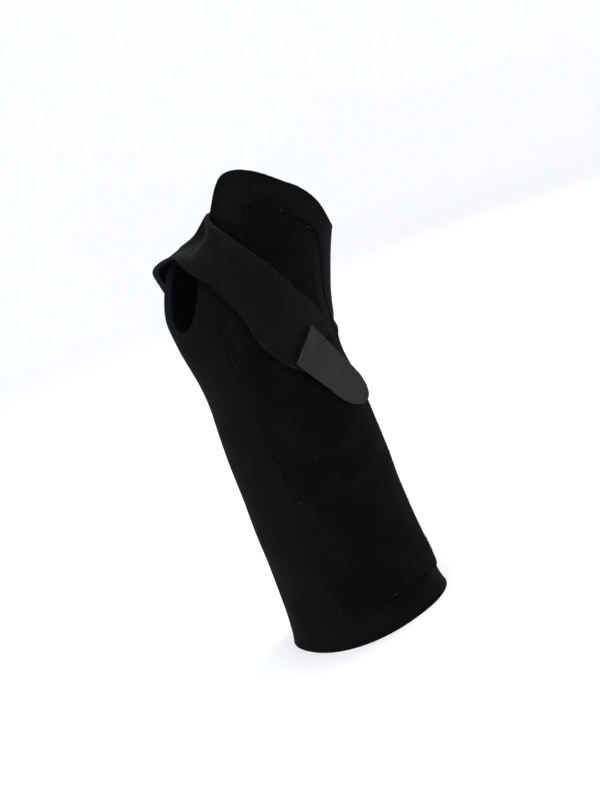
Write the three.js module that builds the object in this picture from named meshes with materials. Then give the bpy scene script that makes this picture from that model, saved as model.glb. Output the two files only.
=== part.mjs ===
// Right-hand slip-on wrist splint, in millimetres. +Z runs up the forearm towards the hand, -Y is the
// back of the hand, -X is the thumb side and +X the little-finger side. It stands on its forearm rim.
//
// Every soft piece is a slab laid on one tube, the limb surface. A place on that surface is written
// [angle, height, lift]: the angle in degrees round the limb (0 the back of the hand, 90 the little
// finger, 180 the palm, -90 the thumb), the distance along the bent axis from the rim, and the
// distance out from the surface.

import * as THREE from 'three';

const DEGREE = Math.PI / 180;

// Axis of the limb: straight forearm, wrist arc, straight hand.
const FOREARM_LENGTH = 128;
const WRIST_ARC_LENGTH = 52;
const HAND_TILT = 22.5 * DEGREE;
const TILT_HEADING = 24 * DEGREE;        // from the little-finger side round towards the back
const FOOTPRINT_CENTRE = [7, 0.5];       // middle of the splint's plan, moved to the origin

// Half widths of the limb at heights along the axis.
const THUMB_SIDE = [[0, 38.5], [60, 36.8], [110, 35.6], [135, 34], [160, 34.5], [185, 34], [215, 31.5], [234, 30.5]];
const LITTLE_SIDE = [[0, 38.5], [25, 36.5], [60, 35.2], [110, 35.2], [135, 34.2], [155, 36.5], [185, 36.5], [234, 37]];
const BACK_SIDE = [[0, 35.5], [60, 33.2], [110, 32], [135, 29], [160, 27], [185, 24], [234, 20]];
const PALM_SIDE = [[0, 35.5], [60, 33.5], [110, 31], [160, 28], [185, 27], [215, 25], [234, 22]];
const SECTION_POWER = 2.3;               // 2 is an ellipse, more is squarer

// Swelling over the ball of the thumb.
const THUMB_SWELL = 15;
const THUMB_SWELL_ANGLE = -104;
const THUMB_SWELL_SPREAD = 45;
const THUMB_SWELL_START = [128, 182];
const THUMB_SWELL_END = [184, 206];

// Thicknesses and clearances.
const SLEEVE_INNER = -1.8;
const SLEEVE_OUTER = 2.0;
const CLEARANCE = 0.3;
const LOOP_FABRIC = 1.2;
const DORSAL_STAY = 1.2;
const PALMAR_STAY = 1.6;
const STRAP_THICKNESS = 3.4;
const TAB_THICKNESS = 1.3;
const HOOK_TAPE_THICKNESS = 0.9;

// Thumb notch in the sleeve, open at the hand end.
const NOTCH_ANGLE = -96;
const NOTCH_BOTTOM = 162;
const NOTCH_BACK = { width: 24, top: 182 };
const NOTCH_PALM = { width: 32, top: 186 };
const SEAM_ANGLE = 110;
const SEAM_GAP = 0.3;                    // half of the seam's gap, in degrees

const COLOURS = {
  jersey: 0x16171a, loop: 0x0d0e10, strap: 0x1b1c20, tab: 0x3a3b3d, hook: 0x202123,
  thread: 0x2a2b2e, aluminium: 0xb9bcc0, plastic: 0x2c2e33,
};

function material(colour, roughness = 0.9, metalness = 0) {
  return new THREE.MeshStandardMaterial({ color: COLOURS[colour], roughness, metalness });
}

// ---- Limb surface ------------------------------------------------------------------------------

// Smooth curve through [x, y, ...] rows; gives the y values at x.
function through(rows, x) {
  const last = rows.length - 1;
  let k = 0;
  while (k < last - 1 && x > rows[k + 1][0]) k += 1;
  const [a, b] = [rows[k], rows[k + 1]];
  const before = rows[Math.max(k - 1, 0)];
  const after = rows[Math.min(k + 2, last)];
  const span = b[0] - a[0];
  const t = (x - a[0]) / span;
  return a.slice(1).map((start, i) => {
    const end = b[i + 1];
    const slopeA = k === 0 ? (end - start) : (end - before[i + 1]) / (b[0] - before[0]) * span;
    const slopeB = k === last - 1 ? (end - start) : (after[i + 1] - start) / (after[0] - a[0]) * span;
    return (2 * t ** 3 - 3 * t ** 2 + 1) * start + (t ** 3 - 2 * t ** 2 + t) * slopeA
      + (3 * t ** 2 - 2 * t ** 3) * end + (t ** 3 - t ** 2) * slopeB;
  });
}

const clamp01 = (t) => Math.min(1, Math.max(0, t));
const ease = (t) => clamp01(t) ** 2 * (3 - 2 * clamp01(t));
const mix = (a, b, t) => a + (b - a) * t;
const mixRow = (a, b, t) => a.map((value, i) => mix(value, b[i], t));

function thumbSwell(angle, height) {
  const away = ((angle - THUMB_SWELL_ANGLE + 540) % 360) - 180;
  const rise = ease((height - THUMB_SWELL_START[0]) / (THUMB_SWELL_START[1] - THUMB_SWELL_START[0]));
  const fall = ease((height - THUMB_SWELL_END[0]) / (THUMB_SWELL_END[1] - THUMB_SWELL_END[0]));
  return THUMB_SWELL * rise * (1 - fall) * Math.exp(-((away / THUMB_SWELL_SPREAD) ** 2));
}

const tiltDirection = new THREE.Vector3(Math.cos(TILT_HEADING), -Math.sin(TILT_HEADING), 0);
const tiltAxis = new THREE.Vector3(Math.sin(TILT_HEADING), Math.cos(TILT_HEADING), 0);

// The point of the surface at [angle, height], moved out by lift.
function place([angle, height, lift]) {
  const radius = WRIST_ARC_LENGTH / HAND_TILT;
  const bend = clamp01((height - FOREARM_LENGTH) / WRIST_ARC_LENGTH) * HAND_TILT;
  const beyond = Math.max(height - FOREARM_LENGTH - WRIST_ARC_LENGTH, 0);
  const along = Math.min(height, FOREARM_LENGTH) + radius * Math.sin(bend) + beyond * Math.cos(HAND_TILT);
  const aside = radius * (1 - Math.cos(bend)) + beyond * Math.sin(HAND_TILT);

  const sine = Math.sin(angle * DEGREE);
  const cosine = Math.cos(angle * DEGREE);
  const power = 2 / SECTION_POWER;
  const [wide] = through(sine < 0 ? THUMB_SIDE : LITTLE_SIDE, height);
  const [deep] = through(cosine > 0 ? BACK_SIDE : PALM_SIDE, height);
  const across = new THREE.Vector3(
    Math.sign(sine) * Math.abs(sine) ** power * wide, -Math.sign(cosine) * Math.abs(cosine) ** power * deep, 0);
  across.setLength(across.length() + thumbSwell(angle, height) + lift);
  across.applyAxisAngle(tiltAxis, bend);
  return across.addScaledVector(tiltDirection, aside)
    .add(new THREE.Vector3(-FOOTPRINT_CENTRE[0], -FOOTPRINT_CENTRE[1], along));
}

// ---- Slabs -------------------------------------------------------------------------------------

// A closed body between an inner and an outer layer of the same quads. Edges that only one quad uses
// get a wall. Each corner is {key, inner, outer}, and corners with one key are shared.
function slab(name, quads, look) {
  const index = new Map();
  const positions = [];
  const cornerOf = (corner) => {
    if (!index.has(corner.key)) {
      index.set(corner.key, positions.length / 3);
      positions.push(...corner.inner.toArray(), ...corner.outer.toArray());
    }
    return index.get(corner.key);
  };
  const faces = quads.map((quad) => quad.map(cornerOf));
  const used = new Set();
  faces.forEach((face) => face.forEach((a, i) => used.add(`${a}_${face[(i + 1) % 4]}`)));
  const triangles = [];
  for (const face of faces) {
    const [a, b, c, d] = face;
    triangles.push(a, c, b, a, d, c, a + 1, b + 1, c + 1, a + 1, c + 1, d + 1);
    face.forEach((from, i) => {
      const to = face[(i + 1) % 4];
      if (!used.has(`${to}_${from}`)) triangles.push(from, to, to + 1, from, to + 1, from + 1);
    });
  }
  const volume = signedVolume(positions, triangles);
  if (volume < 0) triangles.reverse();
  const geometry = new THREE.BufferGeometry();
  geometry.setAttribute('position', new THREE.Float32BufferAttribute(positions, 3));
  geometry.setIndex(triangles);
  geometry.computeVertexNormals();
  const mesh = new THREE.Mesh(geometry, look);
  mesh.name = name;
  return mesh;
}

function signedVolume(positions, triangles) {
  const corner = (k) => new THREE.Vector3().fromArray(positions, 3 * triangles[k]);
  let volume = 0;
  for (let k = 0; k < triangles.length; k += 3) {
    volume += corner(k).dot(corner(k + 1).cross(corner(k + 2))) / 6;
  }
  return volume;
}

// Quads of a columns by rows grid. at(u, v) gives [angle, height, inner lift, outer lift].
function gridQuads(columns, rows, at) {
  const corner = (i, j) => {
    const [angle, height, inner, outer] = at(i / columns, j / rows);
    const turn = Math.round(((angle % 360) + 360) % 360 * 1000);
    return {
      key: `${turn}_${Math.round(height * 1000)}`,
      inner: place([angle, height, inner]),
      outer: place([angle, height, outer]),
    };
  };
  const corners = Array.from({ length: columns + 1 }, (_, i) =>
    Array.from({ length: rows + 1 }, (__, j) => corner(i, j)));
  const quads = [];
  for (let i = 0; i < columns; i += 1) {
    for (let j = 0; j < rows; j += 1) {
      quads.push([corners[i][j], corners[i + 1][j], corners[i + 1][j + 1], corners[i][j + 1]]);
    }
  }
  return quads;
}

// A patch between two side edges, each a function of 0..1 giving [angle, height]. Over the last part of
// its length it is drawn up or down to end on the top edge, rows of [angle, height].
const TOP_STARTS = 0.8;
function patch(left, right, top) {
  return (u, v) => {
    const [angle, height] = mixRow(left(v), right(v), u);
    const [endAngle, endHeight] = mixRow(left(1), right(1), u);
    const share = clamp01((v - TOP_STARTS) / (1 - TOP_STARTS));
    return [angle, height + share * (through(top, endAngle)[0] - endHeight)];
  };
}

// ---- Sleeve ------------------------------------------------------------------------------------

// Hand-end edge of the sleeve: height at each angle, highest over the index finger's knuckle.
const HAND_END_BACK = [[-78, 213], [-73, 225], [-61, 232.5], [-33, 234], [0, 229], [23, 222], [51, 211], [110, 206]];
const HAND_END_PALM = [[110, 206], [150, 204], [200, 205], [220, 199], [232, 192.5]];
const NOTCH_BACK_RISE = [[182, -72], [190, -71], [203, -73], [213, -78]];
const SEAM_ROWS = [[0, 0], [0.6, 158], [0.8, 178], [1, 206]];

// Radial edge of a flap: below the notch, round its quarter of the notch, then up to the hand end.
function flapEdge(side, rise) {
  return (v) => {
    if (v <= 0.6) return [NOTCH_ANGLE, NOTCH_BOTTOM * v / 0.6];
    if (v <= 0.8) {
      const turn = (v - 0.6) / 0.2 * Math.PI / 2;
      return [NOTCH_ANGLE + side.width * Math.sin(turn), side.top - (side.top - NOTCH_BOTTOM) * Math.cos(turn)];
    }
    return rise((v - 0.8) / 0.2);
  };
}

const seamHeight = (v) => {
  const k = SEAM_ROWS.findIndex(([at]) => v <= at);
  const [a, b] = [SEAM_ROWS[Math.max(k - 1, 0)], SEAM_ROWS[Math.max(k, 1)]];
  return mix(a[1], b[1], (v - a[0]) / (b[0] - a[0]));
};

function sleeve() {
  const backRise = (t) => {
    const height = mix(NOTCH_BACK.top, 213, t);
    return [through(NOTCH_BACK_RISE, height)[0], height];
  };
  const backSeam = SEAM_ANGLE - SEAM_GAP;
  const back = patch(
    flapEdge(NOTCH_BACK, backRise),
    (v) => [backSeam, seamHeight(v)],
    HAND_END_BACK,
  );
  // The palm flap is measured the other way round, so its notch quarter runs to smaller angles.
  const palmStart = SEAM_ANGLE + SEAM_GAP;
  const palmEdge = flapEdge({ width: -NOTCH_PALM.width, top: NOTCH_PALM.top }, (t) => [
    NOTCH_ANGLE - NOTCH_PALM.width, mix(NOTCH_PALM.top, 192.5, t)]);
  const palm = patch(
    (v) => [palmStart, seamHeight(v)],
    (v) => [palmEdge(v)[0] + 360, palmEdge(v)[1]],
    HAND_END_PALM,
  );
  const layers = (at) => (u, v) => [...at(u, v), SLEEVE_INNER, SLEEVE_OUTER];
  return slab('sleeve', [...gridQuads(26, 25, layers(back)), ...gridQuads(20, 25, layers(palm))],
    material('jersey'));
}

// ---- Pieces laid on the sleeve ------------------------------------------------------------------

// Outline of a long patch: [height, angle of its thumb side, angle of its little-finger side].
const DORSAL_STAY_OUTLINE = [[30, -22, 2], [150, -24, 4], [200, -20, 4]];
const POCKET = [[16, 158, 204], [150, 158, 204], [198, 162, 196]];
const PALMAR_STAY_OUTLINE = [[21, 168, 194], [140, 168, 194], [184, 171, 188]];

const patchAt = (outline, from, to) => (u, v) => {
  const height = mix(from, to, v);
  const [low, high] = through(outline, height);
  return [mix(low, high, u), height];
};

// The loop panel on the back of the hand and forearm: its two sides and its slanting hand end.
const PANEL_THUMB_SIDE = [[14, -43], [24, -49], [90, -53.5], [150, -60], [168, -61], [190, -50], [206, -41], [215, -38]];
const PANEL_LITTLE_SIDE = [[13, 45], [24, 51], [90, 54], [125, 50], [150, 38], [175, 31], [200, 26]];
const PANEL_HAND_END = [[-38, 215], [-27, 220], [-10, 218], [5, 213], [19, 206], [26, 200]];
const sideEdge = (rows) => (v) => {
  const height = mix(rows[0][0], rows.at(-1)[0], v);
  return [through(rows, height)[0], height];
};
const loopPanelAt = patch(sideEdge(PANEL_THUMB_SIDE), sideEdge(PANEL_LITTLE_SIDE), PANEL_HAND_END);

// A fabric cover sewn round its edge, standing off in the middle by room for what it holds.
function cover(name, at, room, fabric, look, columns, rows, openEnd = false) {
  return slab(name, gridQuads(columns, rows, (u, v) => {
    const side = ease(Math.min(u, 1 - u) * 5);
    const end = ease(Math.min(openEnd ? 1 : v * 20, (1 - v) * 20));
    const inner = SLEEVE_OUTER + CLEARANCE + room * side * end;
    return [...at(u, v), inner, inner + fabric];
  }), look);
}

function layer(name, outline, inner, thickness, look, columns, rows, from = outline[0][0], to = outline.at(-1)[0]) {
  const at = patchAt(outline, from, to);
  return slab(name, gridQuads(columns, rows, (u, v) => [...at(u, v), inner, inner + thickness]), look);
}

// A flat thread line: a ribbon along a list of [angle, height] points, lying at lift.
function thread(name, points, width, lift, closed = false, thickness = 0.5) {
  const count = points.length;
  const sides = points.map((point, k) => {
    const next = points[closed ? (k + 1) % count : Math.min(k + 1, count - 1)];
    const last = points[closed ? (k + count - 1) % count : Math.max(k - 1, 0)];
    const run = [(next[0] - last[0]) * MM_PER_DEGREE, next[1] - last[1]];
    const length = Math.hypot(...run);
    const step = [-run[1] / length * width / 2 / MM_PER_DEGREE, run[0] / length * width / 2];
    const at = typeof lift === 'function' ? lift(point) : lift;
    const corner = (sign) => {
      const spot = [point[0] + sign * step[0], point[1] + sign * step[1]];
      return {
        key: `${k}_${sign}`,
        inner: place([...spot, at]),
        outer: place([...spot, at + thickness]),
      };
    };
    return [corner(-1), corner(1)];
  });
  const quads = [];
  for (let k = 0; k < (closed ? count : count - 1); k += 1) {
    const [a, b] = [sides[k], sides[(k + 1) % count]];
    quads.push([a[0], b[0], b[1], a[1]]);
  }
  return slab(name, quads, material('thread', 0.8));
}
const MM_PER_DEGREE = 0.66;

// Points round a patch, set in from its edge by these shares of its width and length.
function insetLoop(at, inset, steps) {
  const run = (count, margin) => Array.from({ length: count }, (_, k) => mix(margin, 1 - margin, k / count));
  const side = run(steps, inset.length);
  const end = run(6, inset.width);
  return [...side.map((v) => at(inset.width, v)), ...end.map((u) => at(u, 1 - inset.length)),
    ...side.map((v) => at(1 - inset.width, 1 - v)), ...end.map((u) => at(1 - u, inset.length))];
}

function seamThread() {
  const points = Array.from({ length: 27 }, (_, k) => [SEAM_ANGLE, mix(1.5, 204, k / 26)]);
  return thread('seam_thread', points, 5, SLEEVE_OUTER + CLEARANCE);
}

function stayCaps() {
  const lift = SLEEVE_OUTER + 2 * CLEARANCE;
  const look = material('plastic', 0.5);
  const top = PALMAR_STAY_OUTLINE.at(-1)[0];
  return [
    layer('palmar_stay_cap_forearm', PALMAR_STAY_OUTLINE, lift, PALMAR_STAY, look, 6, 2, 12, 20.6),
    layer('palmar_stay_cap_hand', PALMAR_STAY_OUTLINE, lift, PALMAR_STAY, look, 6, 2, top + 0.4, top + 3),
  ];
}

// ---- Strap and tab ------------------------------------------------------------------------------

// Under side of the strap along three rails, from the palm to the tab: [step, angle, height, lift].
const STRAP_LOWER = [[0, -151, 168, 3.4], [1, -138, 176, 3.6], [2, -120, 186, 3.5], [3, -98, 193.5, 2.4],
  [4, -72, 186, 4.8], [5, -58, 180, 5.2], [6, -39, 168, 5.8], [7, -30, 155, 7], [8, -17, 143, 6.6], [9, -6, 136.5, 5.8]];
const STRAP_MIDDLE = [[0, -150, 179, 3.4], [1, -138, 186, 3.6], [2, -120, 193.5, 1.6], [3, -96, 202, -3.8],
  [4, -72, 198, 4], [5, -52, 190, 5.2], [6, -34, 180, 5.6], [7, -18, 169, 5.8], [8, -4, 158, 5.8], [9, 6, 147, 5.8]];
const STRAP_UPPER = [[0, -149, 191, 3.4], [1, -138, 196.5, 3.4], [2, -118, 203, -1.7], [3, -93, 214, -3.2],
  [4, -71, 210, 4.8], [5, -50, 203, 5.2], [6, -34, 197, 5.2], [7, -15, 188, 5.6], [8, 3, 173, 5.8], [9, 15, 155, 5.8]];
const STRAP_FOLD = 3.25;                 // rail step where the strap folds back off the hand
const STRAP_SPLIT = 0.045;               // gap at the fold, in steps

// A point of the strap's under side: three rails joined by a parabola across the width.
function onStrap(step, v) {
  const [low, middle, high] = [STRAP_LOWER, STRAP_MIDDLE, STRAP_UPPER].map((rail) => through(rail, step));
  return low.map((value, i) => value * (1 - v) * (1 - 2 * v) + middle[i] * 4 * v * (1 - v)
    + high[i] * v * (2 * v - 1));
}

function strapPiece(name, from, to, columns) {
  return slab(name, gridQuads(columns, 6, (u, v) => {
    const [angle, height, lift] = onStrap(mix(from, to, u), v);
    return [angle, height, lift, lift + STRAP_THICKNESS];
  }), material('strap'));
}

function anchorStitch() {
  const top = (step, v) => {
    const [angle, height, lift] = onStrap(step, v);
    return { spot: [angle, height], lift: lift + STRAP_THICKNESS + 2 * CLEARANCE };
  };
  const box = [[0.15, 0.1], [0.15, 0.5], [0.15, 0.9], [0.6, 0.9], [1.05, 0.9], [1.05, 0.5], [1.05, 0.1], [0.6, 0.1]];
  const spots = box.map(([step, v]) => top(step, v));
  const liftAt = new Map(spots.map(({ spot, lift }) => [spot, lift]));
  return thread('strap_anchor_stitch', spots.map(({ spot }) => spot), 1, (point) => liftAt.get(point), true);
}

// The tab is a flat plate across the wrist's hollow, from corner points on the limb.
const TAB_ROOT = [[-12, 142], [1, 158.5]];
const TAB_END = [[13.5, 106.5], [29.5, 112.5]];
const TAB_ROOT_LIFT = [10.6, 10.4];
const TAB_END_LIFT = [7.6, 11.8];
const TAB_SEWN = 0.2;                    // share of the tab that is sewn down on the strap

function tabPlace(u, v, lift) {
  const root = TAB_ROOT.map((spot, i) => place([...spot, TAB_ROOT_LIFT[i]]));
  const end = TAB_END.map((spot, i) => place([...spot, TAB_END_LIFT[i]]));
  const rounding = Math.sqrt(Math.max(0, 1 - ((u - 0.72) / 0.28) ** 2));
  const half = u > 0.72 ? 0.5 * rounding : 0.5;
  const across = 0.5 + (v - 0.5) * 2 * half;
  const near = root[0].clone().lerp(end[0], u);
  const far = root[1].clone().lerp(end[1], u);
  const normal = new THREE.Vector3().crossVectors(
    far.clone().sub(near), end[0].clone().sub(root[0])).normalize();
  if (normal.y > 0) normal.negate();
  return near.lerp(far, across).addScaledVector(normal, lift);
}

function tabPiece(name, from, to, columns, bottom, thickness, look) {
  const corner = (i, j) => {
    const [u, v] = [mix(from, to, i / columns), j / 6];
    return { key: `${i}_${j}`, inner: tabPlace(u, v, bottom), outer: tabPlace(u, v, bottom + thickness) };
  };
  const quads = [];
  for (let i = 0; i < columns; i += 1) {
    for (let j = 0; j < 6; j += 1) {
      quads.push([corner(i, j), corner(i + 1, j), corner(i + 1, j + 1), corner(i, j + 1)]);
    }
  }
  return slab(name, quads, look);
}

// ---- Assembly ------------------------------------------------------------------------------------

const tabLook = material('tab');
const stitchLift = SLEEVE_OUTER + 2.55;
const splint = new THREE.Group();
splint.add(
  sleeve(),
  seamThread(),
  cover('dorsal_loop_panel', loopPanelAt, DORSAL_STAY + CLEARANCE, LOOP_FABRIC, material('loop', 1), 14, 30),
  layer('dorsal_stay', DORSAL_STAY_OUTLINE, SLEEVE_OUTER + CLEARANCE, DORSAL_STAY, material('plastic', 0.5), 6, 20),
  cover('palmar_pocket', patchAt(POCKET, 16, 198), PALMAR_STAY + 3 * CLEARANCE, 1.2, material('jersey'), 12, 26, true),
  layer('palmar_stay', PALMAR_STAY_OUTLINE, SLEEVE_OUTER + 2 * CLEARANCE, PALMAR_STAY, material('aluminium', 0.35, 1), 6, 22),
  ...stayCaps(),
  strapPiece('strap_palm_end', 0, STRAP_FOLD - STRAP_SPLIT, 10),
  anchorStitch(),
  strapPiece('strap', STRAP_FOLD + STRAP_SPLIT, 9, 18),
  tabPiece('tab_root', 0, TAB_SEWN - 0.01, 3, 0, TAB_THICKNESS, tabLook),
  tabPiece('hook_tab', TAB_SEWN + 0.01, 0.995, 14, 0, TAB_THICKNESS, tabLook),
  tabPiece('hook_tape', 0.36, 0.985, 10, -HOOK_TAPE_THICKNESS - CLEARANCE, HOOK_TAPE_THICKNESS, material('hook')),
  thread('loop_panel_stitch', insetLoop(loopPanelAt, { width: 0.045, length: 0.012 }, 24), 0.8, stitchLift, true),
);

export default splint;
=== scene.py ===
"""Looks of a right-hand slip-on neoprene wrist splint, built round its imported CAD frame.

Soft pieces are laid on the same limb surface as the CAD part. A place on it is an angle in degrees
(0 the back of the hand, 90 the little finger, 180 the palm, -90 the thumb), a height along the bent
axis and a lift out from the surface, both in millimetres.
"""
import math

import bpy
import numpy as np
from mathutils import Matrix, Vector, noise


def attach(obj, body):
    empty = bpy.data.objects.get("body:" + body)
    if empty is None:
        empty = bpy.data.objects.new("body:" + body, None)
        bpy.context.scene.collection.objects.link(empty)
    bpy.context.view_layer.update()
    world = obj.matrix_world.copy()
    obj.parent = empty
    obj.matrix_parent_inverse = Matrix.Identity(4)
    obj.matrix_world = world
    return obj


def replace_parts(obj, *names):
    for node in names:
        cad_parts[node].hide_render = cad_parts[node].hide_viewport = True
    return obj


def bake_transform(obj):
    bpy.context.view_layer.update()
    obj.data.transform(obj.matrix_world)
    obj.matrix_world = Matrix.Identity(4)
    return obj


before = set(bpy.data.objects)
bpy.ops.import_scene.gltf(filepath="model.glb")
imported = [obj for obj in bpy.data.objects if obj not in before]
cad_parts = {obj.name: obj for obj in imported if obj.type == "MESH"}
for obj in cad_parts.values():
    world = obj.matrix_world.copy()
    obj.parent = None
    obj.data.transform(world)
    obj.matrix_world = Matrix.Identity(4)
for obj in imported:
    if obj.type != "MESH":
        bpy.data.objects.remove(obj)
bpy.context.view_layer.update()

MM = 0.001
MM_PER_DEGREE = 0.66

# ---- Limb surface, as in the CAD part ------------------------------------------------------------
FOREARM_LENGTH = 128.0
WRIST_ARC_LENGTH = 52.0
HAND_TILT = math.radians(22.5)
TILT_HEADING = math.radians(24)
FOOTPRINT_CENTRE = np.array([7.0, 0.5, 0.0])
THUMB_SIDE = [[0, 38.5], [60, 36.8], [110, 35.6], [135, 34], [160, 34.5], [185, 34], [215, 31.5],
              [234, 30.5]]
LITTLE_SIDE = [[0, 38.5], [25, 36.5], [60, 35.2], [110, 35.2], [135, 34.2], [155, 36.5], [185, 36.5],
               [234, 37]]
BACK_SIDE = [[0, 35.5], [60, 33.2], [110, 32], [135, 29], [160, 27], [185, 24], [234, 20]]
PALM_SIDE = [[0, 35.5], [60, 33.5], [110, 31], [160, 28], [185, 27], [215, 25], [234, 22]]
SECTION_POWER = 2.3
THUMB_SWELL = 15.0
THUMB_SWELL_START, THUMB_SWELL_RISE = 128, 54
THUMB_SWELL_END, THUMB_SWELL_FALL = 184, 22
THUMB_SWELL_ANGLE = -104.0
THUMB_SWELL_SPREAD = 45.0


def through(rows, x):
    """Smooth curve through [x, y, ...] rows: the y values at x, one array for each column."""
    table = np.array(rows, float)
    knots, values = table[:, 0], table[:, 1:]
    x = np.asarray(x, float)
    k = np.clip(np.searchsorted(knots, x) - 1, 0, len(knots) - 2)
    span = knots[k + 1] - knots[k]
    t = ((x - knots[k]) / span)[..., None]
    straight = values[k + 1] - values[k]
    before, after = np.maximum(k - 1, 0), np.minimum(k + 2, len(knots) - 1)
    slope_a = (values[k + 1] - values[before]) / (knots[k + 1] - knots[before])[..., None] * span[..., None]
    slope_b = (values[after] - values[k]) / (knots[after] - knots[k])[..., None] * span[..., None]
    slope_a = np.where((k == 0)[..., None], straight, slope_a)
    slope_b = np.where((k == len(knots) - 2)[..., None], straight, slope_b)
    curve = ((2 * t**3 - 3 * t**2 + 1) * values[k] + (t**3 - 2 * t**2 + t) * slope_a
             + (3 * t**2 - 2 * t**3) * values[k + 1] + (t**3 - t**2) * slope_b)
    return [curve[..., i] for i in range(values.shape[1])]


def ease(t):
    t = np.clip(t, 0, 1)
    return t * t * (3 - 2 * t)


def mix(a, b, t):
    return a + (b - a) * t


def hump(x, centre, spread):
    """A smooth bump of height 1 at centre."""
    return np.exp(-(((x - centre) / spread) ** 2))


def thumb_swell(angle, height):
    away = (angle - THUMB_SWELL_ANGLE + 540) % 360 - 180
    rise = ease((height - THUMB_SWELL_START) / THUMB_SWELL_RISE)
    fall = ease((height - THUMB_SWELL_END) / THUMB_SWELL_FALL)
    return THUMB_SWELL * rise * (1 - fall) * hump(away, 0, THUMB_SWELL_SPREAD)


def place(angle, height, lift):
    """Points of the limb surface moved out by lift, in metres: an array with a last axis of 3."""
    angle, height, lift = np.broadcast_arrays(
        np.asarray(angle, float), np.asarray(height, float), np.asarray(lift, float))
    radius = WRIST_ARC_LENGTH / HAND_TILT
    bend = np.clip((height - FOREARM_LENGTH) / WRIST_ARC_LENGTH, 0, 1) * HAND_TILT
    beyond = np.maximum(height - FOREARM_LENGTH - WRIST_ARC_LENGTH, 0)
    along = np.minimum(height, FOREARM_LENGTH) + radius * np.sin(bend) + beyond * math.cos(HAND_TILT)
    aside = radius * (1 - np.cos(bend)) + beyond * math.sin(HAND_TILT)

    sine, cosine = np.sin(np.radians(angle)), np.cos(np.radians(angle))
    wide = np.where(sine < 0, through(THUMB_SIDE, height)[0], through(LITTLE_SIDE, height)[0])
    deep = np.where(cosine > 0, through(BACK_SIDE, height)[0], through(PALM_SIDE, height)[0])
    power = 2 / SECTION_POWER
    x = np.sign(sine) * np.abs(sine) ** power * wide
    y = -np.sign(cosine) * np.abs(cosine) ** power * deep
    reach = np.hypot(x, y)
    grown = 1 + (thumb_swell(angle, height) + lift) / reach
    across = np.stack([x * grown, y * grown, 0 * x], -1)

    heading = np.array([math.cos(TILT_HEADING), -math.sin(TILT_HEADING), 0])
    axis = np.array([math.sin(TILT_HEADING), math.cos(TILT_HEADING), 0])
    c, s = np.cos(bend)[..., None], np.sin(bend)[..., None]
    turned = across * c + np.cross(axis, across) * s + axis * (across @ axis)[..., None] * (1 - c)
    up = np.array([0, 0, 1.0])
    return (turned + aside[..., None] * heading + along[..., None] * up - FOOTPRINT_CENTRE) * MM


# ---- Mesh building -------------------------------------------------------------------------------
class Sheet:
    """A grid of points on the limb or in space, with the two faces of a piece of cloth."""

    def __init__(self, inner, outer, across, along):
        self.inner, self.outer = inner, outer
        self.cloth = np.stack([across, along, 0 * across], -1)


def limb_sheet(angle, height, inner, outer):
    return Sheet(place(angle, height, inner), place(angle, height, outer),
                 angle * MM_PER_DEGREE + 0 * height, height + 0 * angle)


# A cut edge seen in section: steps out from the edge (millimetres) and shares of the thickness.
CUT_EDGE = [(0.28, 0.965), (0.42, 0.85), (0.45, 0.62), (0.45, 0.38), (0.42, 0.15), (0.28, 0.035)]
SOFT_EDGE = [(0.22, 0.88), (0.32, 0.5), (0.22, 0.12)]


def weld(points):
    """Merges points that coincide. Gives the kept indexes and the map from old to new."""
    keys = np.round(points / 2e-6).astype(np.int64)
    _, first, inverse = np.unique(keys, axis=0, return_index=True, return_inverse=True)
    return first, inverse.reshape(-1)


def boundary_loops(faces, count):
    """Directed edges that only one face uses."""
    edges = np.concatenate([faces[:, [i, (i + 1) % 4]] for i in range(4)])
    forward = edges[:, 0] * count + edges[:, 1]
    backward = edges[:, 1] * count + edges[:, 0]
    return edges[~np.isin(forward, backward)]


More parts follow.
